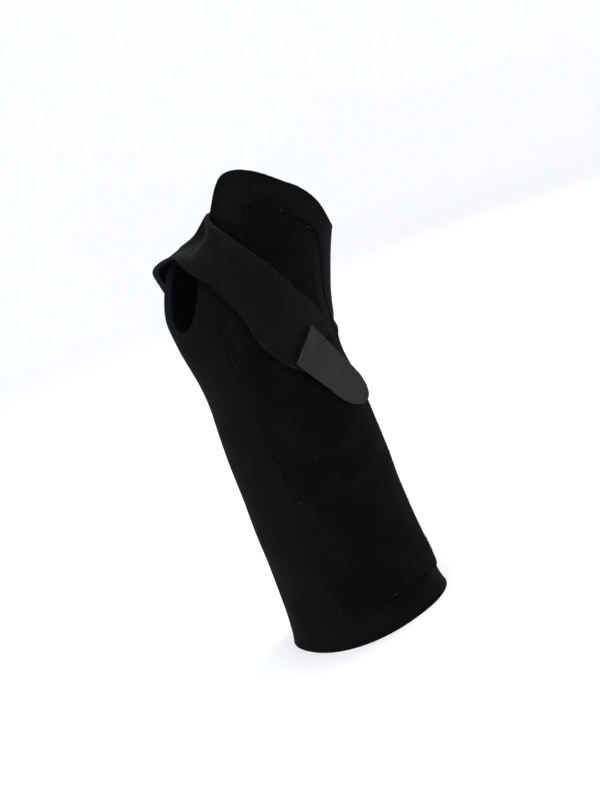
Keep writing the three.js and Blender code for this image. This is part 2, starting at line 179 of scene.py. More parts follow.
def cloth_mesh(name, sheets, looks, edge=CUT_EDGE, roughness=0.0):
    """A closed piece of cloth with rounded edges. looks are its outer, edge and inner materials."""
    inner = np.concatenate([s.inner.reshape(-1, 3) for s in sheets])
    outer = np.concatenate([s.outer.reshape(-1, 3) for s in sheets])
    cloth = np.concatenate([s.cloth.reshape(-1, 3) for s in sheets])
    faces, start = [], 0
    for sheet in sheets:
        columns, rows = sheet.outer.shape[:2]
        index = np.arange(columns * rows).reshape(columns, rows) + start
        corners = [index[:-1, :-1], index[1:, :-1], index[1:, 1:], index[:-1, 1:]]
        faces.append(np.stack(corners, -1).reshape(-1, 4))
        start += columns * rows
    kept, new_of = weld(outer)
    inner, outer, cloth = inner[kept], outer[kept], cloth[kept]
    faces = new_of[np.concatenate(faces)]
    count = len(outer)

    edges = boundary_loops(faces, count)
    middle = (inner + outer) / 2
    rim = np.unique(edges)
    slot_of = np.full(count, -1)
    slot_of[rim] = np.arange(len(rim))
    away = np.zeros((count, 3))
    along = middle[edges[:, 1]] - middle[edges[:, 0]]
    along /= np.linalg.norm(along, axis=1, keepdims=True)
    thick = outer[edges[:, 0]] - inner[edges[:, 0]]
    thick /= np.linalg.norm(thick, axis=1, keepdims=True)
    sideways = np.cross(along, thick)
    for end in (0, 1):
        np.add.at(away, edges[:, end], sideways)
    away = away[rim] / np.maximum(np.linalg.norm(away[rim], axis=1, keepdims=True), 1e-9)

    wall = []
    for k, (out, share) in enumerate(edge):
        ragged = np.array([noise.noise(Vector(p) * 900 + Vector((0, 0, 7.3 * k))) for p in outer[rim]])
        wall.append(mix(inner[rim], outer[rim], share) + away * (out + roughness * ragged)[:, None] * MM)
    layers = [outer, inner] + wall
    points = np.concatenate(layers)
    points[:, 2] = np.maximum(points[:, 2], 0.0)
    faces_all = [faces, faces[:, ::-1] + count]
    kinds = [np.zeros(len(faces), int), np.full(len(faces), 2)]
    wall_starts = [2 * count + k * len(rim) for k in range(len(edge))]
    rings = [np.arange(count)] + wall_starts + [np.arange(count) + count]

    def ring_index(k, vertices):
        ring = rings[k]
        return ring[vertices] if isinstance(ring, np.ndarray) else ring + slot_of[vertices]

    last = len(edge)
    for k in range(last + 1):
        a, b = edges[:, 0], edges[:, 1]
        faces_all.append(np.stack(
            [ring_index(k, b), ring_index(k, a), ring_index(k + 1, a), ring_index(k + 1, b)], -1))
        kinds.append(np.full(len(edges), 0 if k == 0 else 2 if k == last else 1))
    cloth_all = np.concatenate([cloth, cloth] + [cloth[rim]] * len(edge))
    walls = [np.full(len(rim), share) for _, share in edge]
    cloth_all[:, 2] = np.concatenate([np.zeros(count), np.full(count, 1.0)] + walls)
    return mesh_object(name, points, np.concatenate(faces_all), looks, np.concatenate(kinds), cloth_all)


def mesh_object(name, points, faces, looks, kinds=None, cloth=None):
    mesh = bpy.data.meshes.new(name)
    mesh.from_pydata(points.tolist(), [], faces.tolist())
    for look in looks:
        mesh.materials.append(look)
    if kinds is not None:
        mesh.polygons.foreach_set("material_index", kinds.astype(np.int32))
    mesh.polygons.foreach_set("use_smooth", np.ones(len(mesh.polygons), bool))
    if cloth is not None:
        attribute = mesh.attributes.new("cloth", "FLOAT_VECTOR", "POINT")
        attribute.data.foreach_set("vector", cloth.astype(np.float32).reshape(-1))
    mesh.update()
    if signed_volume(points, faces) < 0:
        mesh.flip_normals()
    piece = bpy.data.objects.new(name, mesh)
    bpy.context.scene.collection.objects.link(piece)
    return piece


def signed_volume(points, faces):
    a, b, c, d = (points[faces[:, i]] for i in range(4))
    return (np.einsum("ij,ij->i", a, np.cross(b, c)) + np.einsum("ij,ij->i", a, np.cross(c, d))).sum()


def tube_rings(path, radius, sides):
    """Rings of a tube round each row of path, an array of strands by points by 3. radius in metres."""
    run = np.gradient(path, axis=1)
    run /= np.maximum(np.linalg.norm(run, axis=-1, keepdims=True), 1e-12)
    hint = np.where(np.abs(run[..., 2:3]) < 0.8, np.array([0, 0, 1.0]), np.array([1.0, 0, 0]))
    first = np.cross(run, hint)
    first /= np.linalg.norm(first, axis=-1, keepdims=True)
    second = np.cross(run, first)
    turn = np.linspace(0, 2 * math.pi, sides, endpoint=False)
    ring = first[..., None, :] * np.cos(turn)[:, None] + second[..., None, :] * np.sin(turn)[:, None]
    return path[..., None, :] + ring * np.asarray(radius)[..., None, None]


def strands(name, path, radius, look, sides=5):
    """Many short round strands in one mesh, each closed to a point at both ends."""
    path = np.asarray(path)
    count, steps = path.shape[:2]
    taper = np.ones(steps)
    taper[[0, -1]] = 0.35
    rings = tube_rings(path, radius * np.broadcast_to(taper, (count, steps)), sides)
    caps = path[:, [0, -1]]
    points = np.concatenate([rings.reshape(-1, 3), caps.reshape(-1, 3)])
    index = np.arange(count * steps * sides).reshape(count, steps, sides)
    around = np.roll(index, -1, axis=2)
    quads = np.stack([index[:, :-1], around[:, :-1], around[:, 1:], index[:, 1:]], -1).reshape(-1, 4)
    tips = (count * steps * sides + np.arange(count * 2)).reshape(count, 2)
    start = np.stack([around[:, 0], index[:, 0], np.repeat(tips[:, :1], sides, 1)], -1).reshape(-1, 3)
    end = np.stack([index[:, -1], around[:, -1], np.repeat(tips[:, 1:], sides, 1)], -1).reshape(-1, 3)
    mesh = bpy.data.meshes.new(name)
    mesh.from_pydata(points.tolist(), [], quads.tolist() + start.tolist() + end.tolist())
    mesh.materials.append(look)
    mesh.polygons.foreach_set("use_smooth", np.ones(len(mesh.polygons), bool))
    mesh.update()
    piece = bpy.data.objects.new(name, mesh)
    bpy.context.scene.collection.objects.link(piece)
    return piece


def stitch_paths(line, outward, length, gap, rise=0.18, dip=0.35):
    """One arched path for each stitch of a row. line and outward are points and unit normals."""
    both = np.concatenate([line, outward], 1)
    steps = np.linalg.norm(np.diff(line, axis=0), axis=1)
    travelled = np.concatenate([[0], np.cumsum(steps)])
    pitch = (length + gap) * MM
    starts = np.arange(0.3 * pitch, travelled[-1] - length * MM, pitch)
    t = np.linspace(0, 1, 7)
    at = starts[:, None] + t * length * MM
    sampled = np.stack([np.interp(at, travelled, both[:, i]) for i in range(6)], -1)
    arch = (np.sin(math.pi * t) ** 0.6 * (rise + dip) - dip) * MM
    return sampled[..., :3] + sampled[..., 3:] * arch[None, :, None]


# ---- Materials -----------------------------------------------------------------------------------
class Look:
    """A Principled material and short ways to wire procedural texture into it."""

    def __init__(self, name, rough=0.9, specular=0.2, metallic=0.0, sheen=0.0, sheen_rough=0.5):
        self.material = bpy.data.materials.new(name)
        self.material.use_nodes = True
        self.tree = self.material.node_tree
        self.bsdf = self.tree.nodes["Principled BSDF"]
        self.bsdf.inputs["Roughness"].default_value = rough
        self.bsdf.inputs["Specular IOR Level"].default_value = specular
        self.bsdf.inputs["Metallic"].default_value = metallic
        self.bsdf.inputs["Sheen Weight"].default_value = sheen
        self.bsdf.inputs["Sheen Roughness"].default_value = sheen_rough
        self.bsdf.inputs["Sheen Tint"].default_value = (0.75, 0.86, 1.0, 1)

    def node(self, kind, **inputs):
        made = self.tree.nodes.new(kind)
        for key, value in inputs.items():
            self.feed(made.inputs[key.replace("_", " ")], value)
        return made

    def feed(self, socket, value):
        if isinstance(value, bpy.types.NodeSocket):
            self.tree.links.new(value, socket)
        else:
            socket.default_value = value

    def cloth(self):
        """Cloth coordinates in millimetres: across, along, and the share of depth."""
        made = self.tree.nodes.new("ShaderNodeAttribute")
        made.attribute_name = "cloth"
        return made.outputs["Vector"]

    def spot(self):
        return self.tree.nodes.new("ShaderNodeTexCoord").outputs["Object"]

    def math(self, operation, a, b=0.0, c=0.0):
        made = self.tree.nodes.new("ShaderNodeMath")
        made.operation = operation
        for socket, value in zip(made.inputs, (a, b, c)):
            self.feed(socket, value)
        return made.outputs[0]

    def axis(self, vector, name):
        return self.node("ShaderNodeSeparateXYZ", Vector=vector).outputs[name]

    def wave(self, coordinate, period, phase=0.0):
        """A sine from 0 to 1 with that period."""
        turned = self.math("MULTIPLY_ADD", coordinate, 2 * math.pi / period, phase)
        return self.math("MULTIPLY_ADD", self.math("SINE", turned), 0.5, 0.5)

    def noise(self, vector, scale, detail=2.0, rough=0.5):
        made = self.node("ShaderNodeTexNoise", Vector=vector, Scale=scale, Detail=detail, Roughness=rough)
        return made.outputs["Fac"]

    def ramp(self, value, low, high):
        made = self.node("ShaderNodeMapRange", Value=value)
        made.inputs["From Min"].default_value = low
        made.inputs["From Max"].default_value = high
        return made.outputs["Result"]

    def blend(self, share, a, b):
        made = self.tree.nodes.new("ShaderNodeMix")
        made.data_type = "RGBA"
        self.feed(made.inputs[0], share)
        self.feed(made.inputs[6], a)
        self.feed(made.inputs[7], b)
        return made.outputs[2]

    def colour(self, value):
        self.feed(self.bsdf.inputs["Base Color"], value)

    def bump(self, height, strength, distance=0.3):
        made = self.node("ShaderNodeBump", Height=height)
        made.inputs["Strength"].default_value = strength
        made.inputs["Distance"].default_value = distance * MM
        if self.bsdf.inputs["Normal"].links:
            self.tree.links.new(self.bsdf.inputs["Normal"].links[0].from_socket, made.inputs["Normal"])
        self.tree.links.new(made.outputs[0], self.bsdf.inputs["Normal"])


def grey(level, blue=0.0):
    return (level, level * (1 + blue * 0.3), level * (1 + blue), 1)


def jersey_look():
    """Fine knit: wales along the limb, small loops across, a little lint and washed-out patches."""
    look = Look("jersey", rough=0.85, specular=0.02, sheen=0.018, sheen_rough=0.22)
    cloth = look.cloth()
    across, along = look.axis(cloth, "X"), look.axis(cloth, "Y")
    wobble = look.noise(cloth, 0.25)
    wales = look.wave(look.math("ADD", across, wobble), 1.25)
    loops = look.wave(look.math("MULTIPLY_ADD", wales, 0.35, along), 0.8)
    knit = look.math("ADD", look.math("MULTIPLY", wales, 0.7), look.math("MULTIPLY", loops, 0.3))
    patches = look.ramp(look.noise(cloth, 0.045, 3), 0.35, 0.7)
    fuzz = look.noise(cloth, 2.6, 4, 0.7)
    shade = look.math("MULTIPLY_ADD", knit, 0.55, look.math("MULTIPLY_ADD", patches, 0.35, 0.15))
    shade = look.math("MULTIPLY_ADD", fuzz, 0.35, shade)
    look.colour(look.blend(shade, grey(0.0008, 0.1), grey(0.0042, 0.12)))
    look.bump(knit, 0.55, 0.25)
    look.bump(fuzz, 0.35, 0.2)
    return look.material


def lining_look():
    """Smooth dark navy lining."""
    look = Look("lining", rough=0.75, specular=0.03, sheen=0.005)
    cloth = look.cloth()
    weave = look.math("MULTIPLY", *(look.wave(look.axis(cloth, way), 0.9) for way in "XY"))
    look.colour(look.blend(weave, (0.0022, 0.0026, 0.0048, 1), (0.0050, 0.0060, 0.0105, 1)))
    look.bump(weave, 0.4, 0.15)
    return look.material


def foam_look(name, level):
    """Cut neoprene: fine closed cells."""
    look = Look(name, rough=0.95, specular=0.04)
    cells = look.node("ShaderNodeTexVoronoi", Vector=look.spot(), Scale=2600.0).outputs["Distance"]
    grain = look.noise(look.spot(), 1500, 3, 0.6)
    look.colour(look.blend(grain, grey(level * 0.6, 0.25), grey(level * 1.5, 0.3)))
    look.bump(cells, 0.5, 0.2)
    return look.material


def loop_look():
    """Brushed loop fabric: crosswise ribs under an uneven pile."""
    look = Look("loop_fabric", rough=1.0, specular=0.02, sheen=0.03, sheen_rough=0.25)
    cloth = look.cloth()
    wander = look.math("MULTIPLY", look.noise(cloth, 0.12), 2.2)
    ribs = look.wave(look.math("ADD", look.axis(cloth, "Y"), wander), 1.45)
    pile = look.noise(cloth, 1.7, 5, 0.75)
    tufts = look.ramp(look.noise(cloth, 0.5, 3, 0.6), 0.3, 0.75)
    worn = look.ramp(look.noise(cloth, 0.05, 2), 0.4, 0.7)
    shade = look.math("MULTIPLY_ADD", ribs, 0.25, look.math("MULTIPLY", pile, 0.55))
    shade = look.math("ADD", shade, look.math("MULTIPLY", tufts, 0.25))
    shade = look.math("MULTIPLY", shade, look.math("MULTIPLY_ADD", worn, 0.5, 0.7))
    look.colour(look.blend(shade, grey(0.0010, 0.1), grey(0.0058, 0.12)))
    look.bump(ribs, 0.35, 0.25)
    look.bump(pile, 0.9, 0.45)
    return look.material


def strap_look():
    """Neoprene strap faced with a fine diamond knit."""
    look = Look("strap_fabric", rough=0.8, specular=0.04, sheen=0.025, sheen_rough=0.4)
    cloth = look.cloth()
    across, along = look.axis(cloth, "X"), look.axis(cloth, "Y")
    one = look.wave(look.math("ADD", across, along), 1.3)
    other = look.wave(look.math("SUBTRACT", across, along), 1.3)
    diamonds = look.math("MULTIPLY", one, other)
    patches = look.ramp(look.noise(cloth, 0.08, 3), 0.3, 0.75)
    fuzz = look.noise(cloth, 2.2, 3, 0.65)
    shade = look.math("MULTIPLY_ADD", diamonds, 0.6, look.math("MULTIPLY", patches, 0.3))
    shade = look.math("MULTIPLY_ADD", fuzz, 0.25, shade)
    look.colour(look.blend(shade, grey(0.0014, 0.08), grey(0.0074, 0.12)))
    look.bump(diamonds, 0.6, 0.25)
    look.bump(fuzz, 0.25, 0.2)
    return look.material


def tab_look():
    """Brushed grey tab: short pale fibres over a charcoal ground."""
    look = Look("tab_fabric", rough=0.95, specular=0.04, sheen=0.03, sheen_rough=0.5)
    cloth = look.cloth()
    fibres = look.noise(cloth, 3.1, 5, 0.8)
    mottle = look.ramp(look.noise(cloth, 0.6, 3), 0.3, 0.7)
    rows = look.wave(look.axis(cloth, "Y"), 1.1)
    shade = look.math("MULTIPLY_ADD", fibres, 0.7, look.math("MULTIPLY", mottle, 0.25))
    shade = look.math("MULTIPLY_ADD", rows, 0.12, shade)
    look.colour(look.blend(shade, grey(0.003), grey(0.043)))
    look.bump(fibres, 0.7, 0.35)
    return look.material


def hook_look():
    look = Look("hook_tape", rough=0.45, specular=0.35)
    grain = look.noise(look.spot(), 900, 2)
    look.colour(look.blend(grain, grey(0.008), grey(0.02)))
    look.bump(grain, 0.2, 0.1)
    return look.material


def thread_look(name, level):
    """Twisted thread."""
    look = Look(name, rough=0.75, specular=0.03, sheen=0.004)
    twist = look.noise(look.spot(), 3800, 2, 0.6)
    look.colour(look.blend(twist, grey(level * 0.6, 0.1), grey(level * 1.5, 0.15)))
    look.bump(twist, 0.5, 0.08)
    return look.material


def aluminium_look():
    """Rolled aluminium: fine drawing lines along the bar."""
    look = Look("satin_aluminium", rough=0.38, specular=0.5, metallic=1.0)
    stretch = look.node("ShaderNodeMapping", Vector=look.spot())
    stretch.inputs["Scale"].default_value = (2400, 2400, 90)
    lines = look.noise(stretch.outputs[0], 1.0, 3)
    look.colour(look.blend(lines, (0.42, 0.43, 0.45, 1), (0.62, 0.63, 0.66, 1)))
    look.bump(lines, 0.15, 0.05)
    return look.material


def plastic_look(name, level):
    look = Look(name, rough=0.42, specular=0.45)
    grain = look.noise(look.spot(), 700, 3)
    look.colour(look.blend(grain, grey(level * 0.8, 0.2), grey(level * 1.2, 0.2)))
    look.bump(grain, 0.12, 0.08)
    return look.material


JERSEY, LINING, LOOP = jersey_look(), lining_look(), loop_look()
STRAP, TAB, HOOK = strap_look(), tab_look(), hook_look()
FOAM, PALE_FOAM = foam_look("cut_neoprene", 0.008), foam_look("cut_strap", 0.013)
# The loop panel's cut edge is cut foam in its own dark tone, set a little lighter than the sleeve's cut edge
# as a painted highlight along the panel's outline.
HIGHLIT_PANEL_EDGE = foam_look("cut_loop_fabric_painted_highlight", 0.010)
DARK_THREAD, PALE_THREAD = thread_look("dark_thread", 0.0065), thread_look("pale_thread", 0.022)
PILE, LINT = thread_look("pile", 0.0038), thread_look("lint", 0.14)
ALUMINIUM = aluminium_look()
DIPPED, STAY_PLASTIC = plastic_look("dipped_end", 0.02), plastic_look("stay", 0.03)

# ---- Camera --------------------------------------------------------------------------------------
CAMERA_AZIMUTH, CAMERA_ELEVATION, CAMERA_ROLL = -34.0, 11.0, -22.0
CAMERA_DISTANCE, CAMERA_TARGET = 0.640, Vector((-0.0013, -0.0049, 0.1176))
FOCAL_LENGTH, SENSOR_HEIGHT = 57.15, 36.0


def add_camera():
    azimuth, elevation = math.radians(CAMERA_AZIMUTH), math.radians(CAMERA_ELEVATION)
    back = Vector((math.sin(azimuth) * math.cos(elevation), -math.cos(azimuth) * math.cos(elevation),
                   math.sin(elevation)))
    right = Vector((math.cos(azimuth), math.sin(azimuth), 0))
    up = back.cross(right)
    turn = Matrix((right, up, back)).transposed() @ Matrix.Rotation(math.radians(CAMERA_ROLL), 3, "Z")
    data = bpy.data.cameras.new("camera")
    data.sensor_fit, data.sensor_height = "VERTICAL", SENSOR_HEIGHT
    data.lens = FOCAL_LENGTH
    data.clip_start, data.clip_end = 0.01, 50
    camera = bpy.data.objects.new("camera", data)
    camera.matrix_world = Matrix.Translation(CAMERA_TARGET + back * CAMERA_DISTANCE) @ turn.to_4x4()
    bpy.context.scene.collection.objects.link(camera)
    bpy.context.scene.camera = camera


# ---- Sleeve --------------------------------------------------------------------------------------
SLEEVE_INNER, SLEEVE_OUTER = -1.8, 2.0
NOTCH_ANGLE, NOTCH_BOTTOM = -96.0, 162.0
NOTCH_BACK_WIDTH, NOTCH_BACK_TOP = 24.0, 182.0
NOTCH_PALM_WIDTH, NOTCH_PALM_TOP = 32.0, 186.0
SEAM_ANGLE, SEAM_GAP = 110.0, 0.12
FLAP_TOP_BACK, FLAP_TOP_PALM = 213.0, 192.5
HAND_END_BACK = [[-78, 213], [-73, 225], [-61, 232.5], [-33, 234], [0, 229], [23, 222], [51, 211], [110, 206]]
HAND_END_PALM = [[110, 206], [150, 204], [200, 205], [220, 199], [232, 192.5]]
NOTCH_BACK_RISE = [[182, -72], [190, -71], [203, -73], [213, -78]]
SEAM_ROWS = [[0, 0], [0.6, 158], [0.8, 178], [1, 206]]
BELOW_NOTCH, ABOVE_NOTCH = 0.6, 0.8


def flap_edge(v, width, top, rise):
    """Angle and height of a flap's thumb-side edge: seam line, quarter of the notch, then its side."""
    turn = np.clip((v - BELOW_NOTCH) / (ABOVE_NOTCH - BELOW_NOTCH), 0, 1) * math.pi / 2
    angle = NOTCH_ANGLE + width * np.sin(turn)
    height = np.where(v < BELOW_NOTCH, NOTCH_BOTTOM * v / BELOW_NOTCH,
                      top - (top - NOTCH_BOTTOM) * np.cos(turn))
    rise_angle, rise_height = rise(np.clip((v - ABOVE_NOTCH) / (1 - ABOVE_NOTCH), 0, 1))
    above = v > ABOVE_NOTCH
    return np.where(above, rise_angle, angle), np.where(above, rise_height, height)


def patch(u, v, left, right, top, top_starts=0.8):
    """A patch between two side edges, drawn up or down over its last part to end on the top edge."""
    angle, height = mix(left[0], right[0], u), mix(left[1], right[1], u)
    end_angle = mix(left[0][..., -1:], right[0][..., -1:], u)
    end_height = mix(left[1][..., -1:], right[1][..., -1:], u)
    share = np.clip((v - top_starts) / (1 - top_starts), 0, 1)
    return angle, height + share * (through(top, end_angle)[0] - end_height)


def sleeve_lift(angle, height):
    """Small shape of the outer face: flared rim and hand end, wrist folds and soft unevenness."""
    turned = (angle + 180) % 360 - 180
    rim = 1.7 * np.exp(-height / 5.5)
    end = through(HAND_END_BACK + HAND_END_PALM[1:], np.where(turned < -78, turned + 360, turned))[0]
    hand_end = 0.9 * np.exp(-np.maximum(end - height, 0) / 5)
    folds = -0.9 * hump(height, 150 - 0.10 * turned, 2.6) * hump(turned, -72, 26)
    folds += 0.6 * hump(height, 143 - 0.12 * turned, 3.2) * hump(turned, -66, 30)
    folds += -0.7 * hump(height, 152 + 0.08 * turned, 3.0) * hump(turned, 62, 24)
    folds += 0.7 * hump(height, 144 + 0.1 * turned, 3.6) * hump(turned, 66, 26)
    folds += -0.6 * hump(height, 158, 2.8) * hump(turned % 360, 185, 60)
    slow = 0.22 * np.sin(height / 17 + turned / 31) + 0.16 * np.sin(height / 9.1 - turned / 19 + 1.3)
    slow += 0.10 * np.sin(height / 5.3 + turned / 11 + 0.4)
    return rim + hand_end + folds + slow * ease(height / 12)


def make_sleeve():
    v = np.concatenate([np.linspace(0, BELOW_NOTCH, 120, endpoint=False),
                        np.linspace(BELOW_NOTCH, ABOVE_NOTCH, 34, endpoint=False),
                        np.linspace(ABOVE_NOTCH, 1, 36)])[None, :]
    seam_height = np.interp(v, *np.array(SEAM_ROWS, float).T)

    def back_rise(t):
        height = mix(NOTCH_BACK_TOP, FLAP_TOP_BACK, t)
        return through(NOTCH_BACK_RISE, height)[0], height

    def palm_rise(t):
        return NOTCH_ANGLE - NOTCH_PALM_WIDTH + 0 * t, mix(NOTCH_PALM_TOP, FLAP_TOP_PALM, t)

    u_back, u_palm = np.linspace(0, 1, 150)[:, None], np.linspace(0, 1, 112)[:, None]
    back = patch(u_back, v, flap_edge(v, NOTCH_BACK_WIDTH, NOTCH_BACK_TOP, back_rise),
                 (SEAM_ANGLE - SEAM_GAP + 0 * v, seam_height), HAND_END_BACK)
    palm_side = flap_edge(v, -NOTCH_PALM_WIDTH, NOTCH_PALM_TOP, palm_rise)
    palm = patch(u_palm, v, (SEAM_ANGLE + SEAM_GAP + 0 * v, seam_height),
                 (palm_side[0] + 360, palm_side[1]), HAND_END_PALM)
    sheets = []
    for angle, height in (back, palm):
        shape = sleeve_lift(angle, height)
        sheets.append(limb_sheet(angle, height, SLEEVE_INNER + shape, SLEEVE_OUTER + shape))
    sleeve = cloth_mesh("neoprene_sleeve", sheets, [JERSEY, FOAM, LINING], roughness=0.16)
    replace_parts(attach(sleeve, "sleeve"), "sleeve")


# ---- Loop panel ----------------------------------------------------------------------------------
# The outline rows here, and the rails of the strap and the corners of the tab below, are fitted values.
PANEL_THUMB_SIDE = [[14, -50], [30, -50], [90, -53.5], [150, -60], [168, -61], [190, -50], [206, -41],
                    [216, -38]]
PANEL_LITTLE_SIDE = [[13, 52], [30, 53], [90, 54], [125, 50], [150, 38], [175, 31], [201, 26]]
PANEL_HAND_END = [[-38, 216], [-27, 220.5], [-10, 218], [5, 213], [19, 206], [26, 201]]
PANEL_CORNER = 7.0
PANEL_EDGE_THICKNESS = 1.5


def rounded_side(rows, v, inward):
    """A side edge whose two ends turn in round the panel's corners."""
    low, high = rows[0][0], rows[-1][0]
    height = mix(low, high, v)
    near = np.minimum(np.minimum(height - low, high - height), PANEL_CORNER)
    inset = PANEL_CORNER - np.sqrt(np.maximum(PANEL_CORNER**2 - (PANEL_CORNER - near) ** 2, 0))
    return through(rows, height)[0] + inward * inset / MM_PER_DEGREE, height


def panel_grid(columns, rows):
    """Angle, height and distance from the edge in millimetres, over the loop panel."""
    u = np.linspace(0, 1, columns)[:, None]
    turn = np.linspace(0, 1, rows)[None, :]
    v = crowd_ends(turn)
    left, right = rounded_side(PANEL_THUMB_SIDE, v, 1), rounded_side(PANEL_LITTLE_SIDE, v, -1)
    angle, height = patch(u, v, left, right, PANEL_HAND_END)
    full_left, full_right = through(PANEL_THUMB_SIDE, left[1])[0], through(PANEL_LITTLE_SIDE, right[1])[0]
    side = np.minimum(angle - full_left, full_right - angle) * MM_PER_DEGREE
    top = patch(u, v, left, right, PANEL_HAND_END)[1][:, -1:]
    end = np.minimum(height - height[:, :1], top - height)
    return angle, height, side, end


def crowd_ends(t):
    """Rows packed closer towards both ends, so that corners stay round."""
    return t - 0.13 * np.sin(2 * math.pi * t)


def edge_distance(side, end):
    """Distance from a rounded outline, from the distances to its sides and ends."""
    inside = np.minimum(side, end)
    corner = PANEL_CORNER - np.hypot(np.maximum(PANEL_CORNER - side, 0), np.maximum(PANEL_CORNER - end, 0))
    return np.where((side < PANEL_CORNER) & (end < PANEL_CORNER), corner, inside)


STITCH_INSET = 2.6


def panel_lift(angle, height, distance):
    """Top of the loop panel: a proud edge, a groove along its stitches and a soft crown over the stay."""
    crown = 1.5 * ease((distance - STITCH_INSET) / 9)
    groove = -0.4 * hump(distance, STITCH_INSET, 0.9)
    creases = -0.9 * hump(height, 126 - 0.16 * (angle + 30), 1.3) * hump(angle, -30, 12)
    creases += -0.9 * hump(height, 92 - 0.14 * (angle + 18), 1.4) * hump(angle, -16, 17)
    creases += 0.35 * hump(height, 122.5 - 0.16 * (angle + 30), 2.0) * hump(angle, -30, 14)
    creases += 0.35 * hump(height, 88.5 - 0.14 * (angle + 18), 2.2) * hump(angle, -16, 19)
    uneven = 0.12 * np.sin(height / 7.3 + angle / 9) + 0.1 * np.sin(height / 4.1 - angle / 6 + 2)
    return SLEEVE_OUTER + PANEL_EDGE_THICKNESS + crown + groove + (creases + uneven) * ease(distance / 8)


def make_loop_panel():
    angle, height, side, end = panel_grid(76, 210)
    distance = edge_distance(side, end)
    base = sleeve_lift(angle, height)
    top = panel_lift(angle, height, distance)
    bottom = SLEEVE_OUTER + 0.15 + (top - SLEEVE_OUTER - PANEL_EDGE_THICKNESS).clip(0) * 0.9
    # The edge material carries a painted highlight: it is lighter than the sleeve's cut foam.
    panel = cloth_mesh("loop_panel", [limb_sheet(angle, height, base + bottom, base + top)],
                       [LOOP, HIGHLIT_PANEL_EDGE, LINING], SOFT_EDGE, roughness=0.2)
    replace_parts(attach(panel, "sleeve"), "dorsal_loop_panel")


# ---- Strap ---------------------------------------------------------------------------------------
STRAP_LOWER = [[0, -151, 168, 3.4], [1, -138, 176, 3.6], [2, -120, 186, 3.5], [3, -98, 193.5, 2.4],
               [4, -72, 186, 4.8], [5, -58, 180, 5.2], [6, -39, 168, 5.8], [7, -30, 155, 7],
               [8, -17, 143, 6.6], [9, -6, 136.5, 5.8]]
STRAP_MIDDLE = [[0, -150, 179, 3.4], [1, -138, 186, 3.6], [2, -120, 193.5, 1], [3, -96, 202, -6],
                [4, -72, 198, 4], [5, -52, 190, 5.2], [6, -34, 180, 5.6], [7, -18, 169, 5.8],
                [8, -4, 158, 5.8], [9, 6, 147, 5.8]]
STRAP_UPPER = [[0, -149, 191, 3.4], [1, -138, 196.5, 3.4], [2, -118, 203, -2.2], [3, -93, 214, -4.5],
               [4, -71, 210, 4.8], [5, -50, 203, 5.2], [6, -34, 197, 5.2], [7, -15, 188, 5.6],
               [8, 3, 173, 5.8], [9, 15, 155, 5.8]]
STRAP_THICKNESS = 3.2
# Rounded sizes, used only to scale the weave and to space stitches.
STRAP_STEP, STRAP_WIDTH = 13.5, 29.0


def on_strap(step, v):
    rails = [through(rail, step) for rail in (STRAP_LOWER, STRAP_MIDDLE, STRAP_UPPER)]
    shares = ((1 - v) * (1 - 2 * v), 4 * v * (1 - v), v * (2 * v - 1))
    return [sum(rail[i] * share for rail, share in zip(rails, shares)) for i in range(3)]


def make_strap():
    step, v = np.linspace(0, 9, 200)[:, None], np.linspace(0, 1, 44)[None, :]
    angle, height, lift = on_strap(step, v)
    ripple = 0.15 * np.sin(step * 5.1 + v * 4) + 0.12 * np.sin(step * 9.3 - v * 7)
    lift = lift + ripple * ease(np.minimum(v, 1 - v) * 6)
    outer = place(angle, height, lift + STRAP_THICKNESS)
    sheet = Sheet(place(angle, height, lift), outer, v * STRAP_WIDTH + 0 * step,
                  step * STRAP_STEP + 0 * v)
    strap = cloth_mesh("neoprene_strap", [sheet], [STRAP, PALE_FOAM, LINING], roughness=0.14)
    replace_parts(strap, "strap", "strap_palm_end")
    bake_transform(strap)


# ---- Tab -----------------------------------------------------------------------------------------
TAB_ROOT, TAB_ROOT_LIFT = ((-12, 142), (1, 158.5)), (10.6, 10.4)
TAB_END, TAB_END_LIFT = ((13.5, 106.5), (29.5, 112.5)), (7.6, 11.8)
TAB_THICKNESS, TAB_ROUND = 1.3, 0.72
TAB_LENGTH, TAB_WIDTH = 46.0, 20.0


def on_tab(u, v):
    """Points and the outward direction of the tab's under side, u along it and v across."""
    root = [place(*spot, lift) for spot, lift in zip(TAB_ROOT, TAB_ROOT_LIFT)]
    end = [place(*spot, lift) for spot, lift in zip(TAB_END, TAB_END_LIFT)]
    rounding = np.sqrt(np.maximum(1 - ((u - TAB_ROUND) / (1 - TAB_ROUND)) ** 2, 0))
    half = np.where(u > TAB_ROUND, 0.5 * rounding, 0.5)
    across = (0.5 + (v - 0.5) * 2 * half)[..., None]
    near, far = mix(root[0], end[0], u[..., None]), mix(root[1], end[1], u[..., None])
    normal = np.cross(far - near, end[0] - root[0])
    normal /= np.linalg.norm(normal, axis=-1, keepdims=True)
    normal *= -np.sign(normal[..., 1:2])
    return mix(near, far, across), normal


def make_tab():
    u = (1 - np.cos(np.linspace(0, math.pi, 90)))[:, None] / 2 * 0.996
    v = np.linspace(0, 1, 40)[None, :]
    u, v = np.broadcast_arrays(u, v)
    under, normal = on_tab(u, v)
    wave = (0.15 * np.sin(u * 17 + v * 3) + 0.1 * np.sin(v * 11 + u * 5)) * MM
    under = under + normal * wave[..., None]
    sheet = Sheet(under, under + normal * TAB_THICKNESS * MM, v * TAB_WIDTH, u * TAB_LENGTH)
    tab = cloth_mesh("grey_tab", [sheet], [TAB, TAB, HOOK], SOFT_EDGE, roughness=0.15)
    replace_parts(tab, "hook_tab", "tab_root")
    root, _ = on_tab(np.array([0.0]), np.array([0.5]))
    end, _ = on_tab(np.array([1.0]), np.array([0.5]))
    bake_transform(tab)


